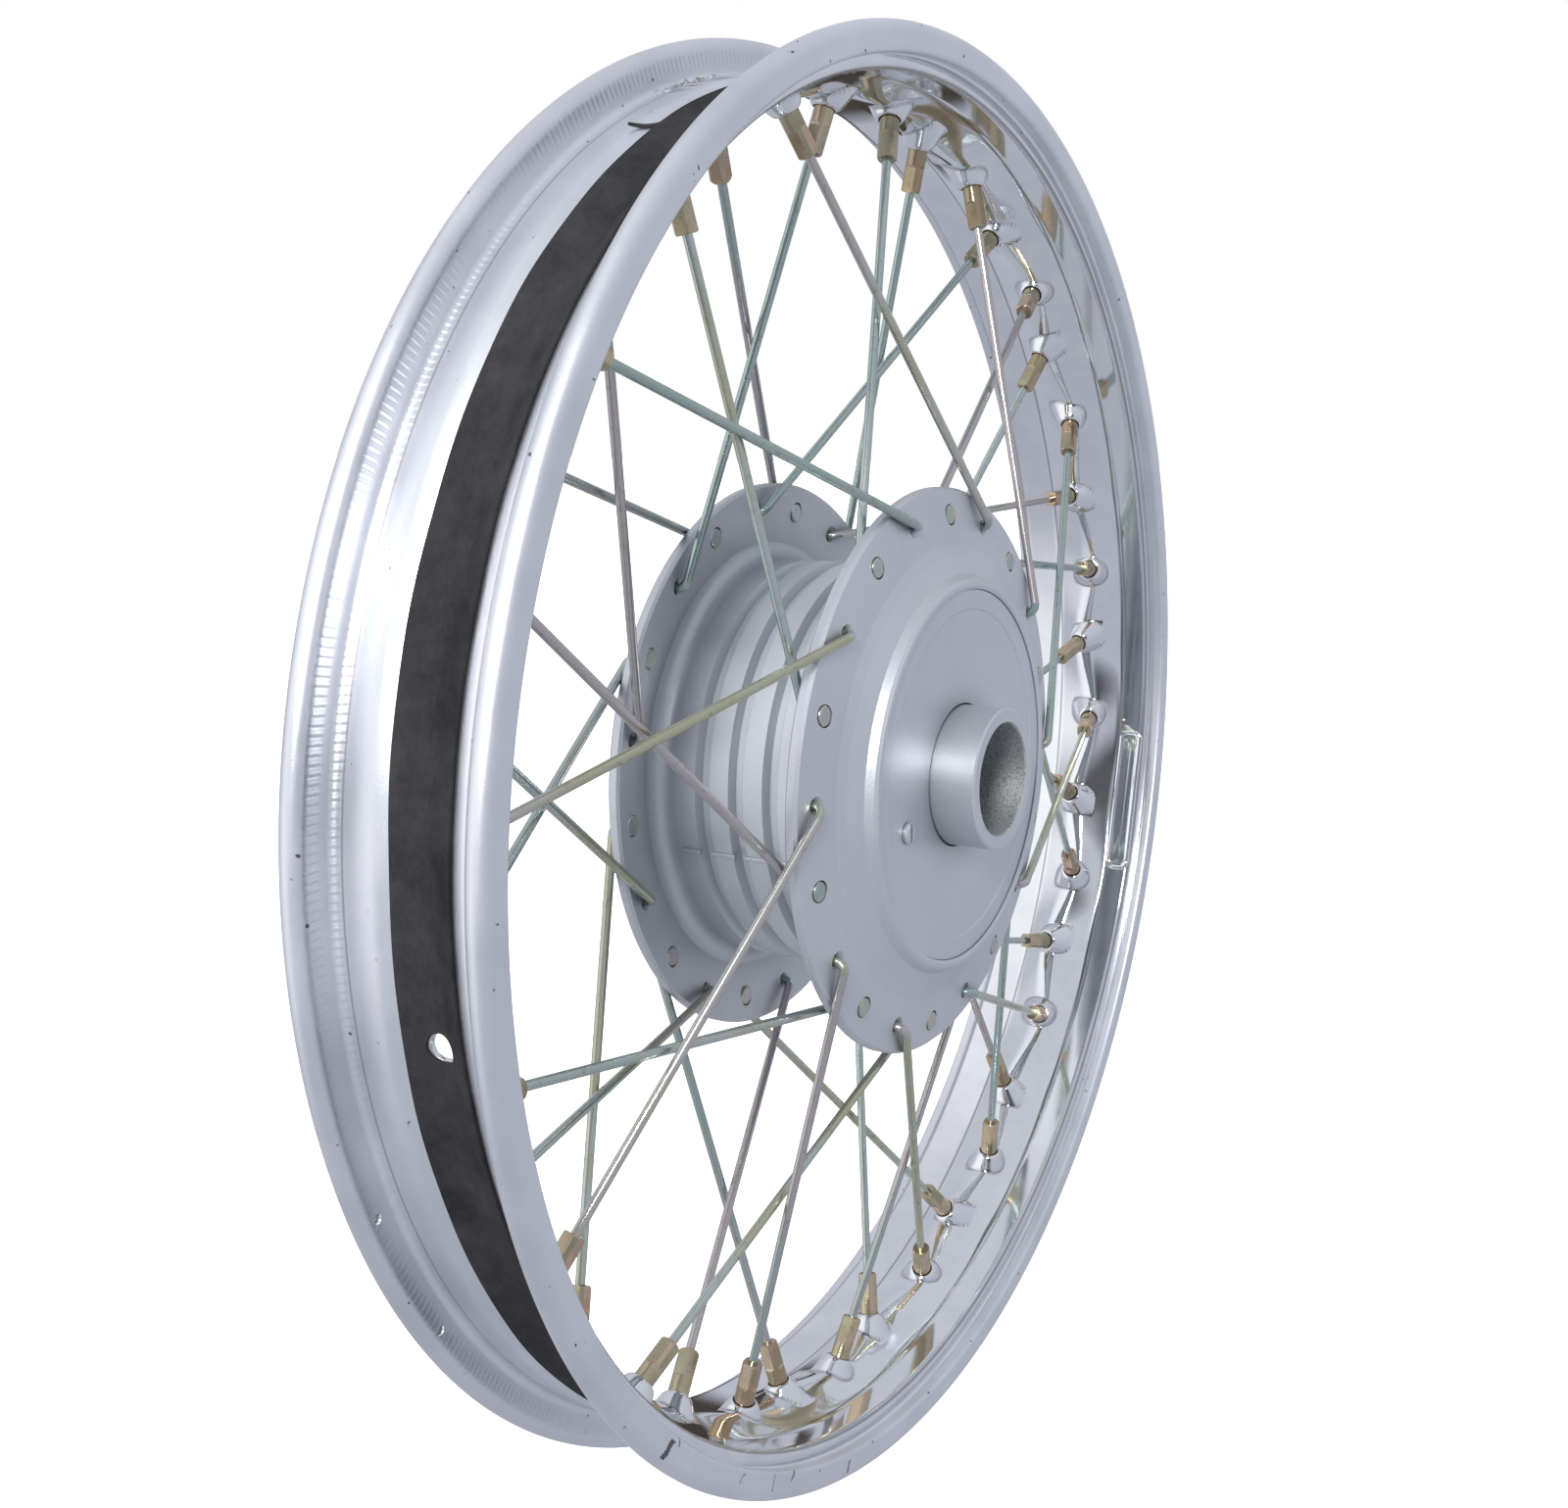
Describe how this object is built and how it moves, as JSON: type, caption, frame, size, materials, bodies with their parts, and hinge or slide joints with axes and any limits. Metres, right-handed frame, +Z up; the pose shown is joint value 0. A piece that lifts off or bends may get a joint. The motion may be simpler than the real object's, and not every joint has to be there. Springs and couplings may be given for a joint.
{
  "type": "spoked motorcycle wheel",
  "caption": "Wire-spoked motorcycle wheel with a chromed drop-centre rim, a ribbed drum-brake hub and a bearing sleeve on one side.",
  "frame": {"origin": "the wheel's centre on the axle, half way between the rim's flange edges", "axes": "+Y along the axle away from the bearing sleeve, +Z up with the wheel standing"},
  "size_m": [0.509, 0.1046, 0.509],
  "materials": {
    "chrome": "chromed steel, satin on the flange edges and polished inside",
    "rubber": "dusty black rubber",
    "hub_paint": "silver paint over a casting",
    "cast_iron": "turned",
    "steel": "plain",
    "bearing_steel": "ground",
    "shield_steel": "pressed",
    "spring_steel": "blackened",
    "spoke_zinc": "yellow and green passivated zinc",
    "nipple_zinc": "yellow passivated zinc"
  },
  "bodies": {
    "axle_core": {"distance_tube": "steel", "near_bearing_inner_ring": "bearing_steel", "far_bearing_inner_ring": "bearing_steel"},
    "wheel": {"rim": "chrome", "rim_tape": "rubber", "hub_shell": "hub_paint", "hub_cover_disc": "hub_paint", "cover_screw": "hub_paint", "bearing_sleeve": "hub_paint", "brake_liner": "cast_iron", "spokes_near_outer": "spoke_zinc", "nipples_near_outer": "nipple_zinc", "spokes_near_inner": "spoke_zinc", "nipples_near_inner": "nipple_zinc", "spokes_far_outer": "spoke_zinc", "nipples_far_outer": "nipple_zinc", "spokes_far_inner": "spoke_zinc", "nipples_far_inner": "nipple_zinc", "near_bearing_outer_ring": "bearing_steel", "near_bearing_shields": "shield_steel", "near_retaining_ring": "spring_steel", "far_bearing_outer_ring": "bearing_steel", "far_bearing_shields": "shield_steel", "far_retaining_ring": "spring_steel"},
    "near_ball_set": {"near_bearing_balls": "bearing_steel", "near_bearing_cage": "steel"},
    "far_ball_set": {"far_bearing_balls": "bearing_steel", "far_bearing_cage": "steel"}
  },
  "joints": [
    {"name": "wheel_spin", "type": "hinge", "parent": "axle_core", "child": "wheel", "pos_m": [0, 0, 0], "axis": [0, 1, 0], "continuous": true},
    {"name": "near_balls_roll", "type": "hinge", "parent": "axle_core", "child": "near_ball_set", "pos_m": [0, -0.03, 0], "axis": [0, 1, 0], "continuous": true},
    {"name": "far_balls_roll", "type": "hinge", "parent": "axle_core", "child": "far_ball_set", "pos_m": [0, 0.022, 0], "axis": [0, 1, 0], "continuous": true}
  ],
  "couplings": [
    {"joint": "near_balls_roll", "follows": "wheel_spin", "ratio": 0.61825},
    {"joint": "far_balls_roll", "follows": "wheel_spin", "ratio": 0.61825}
  ]
}
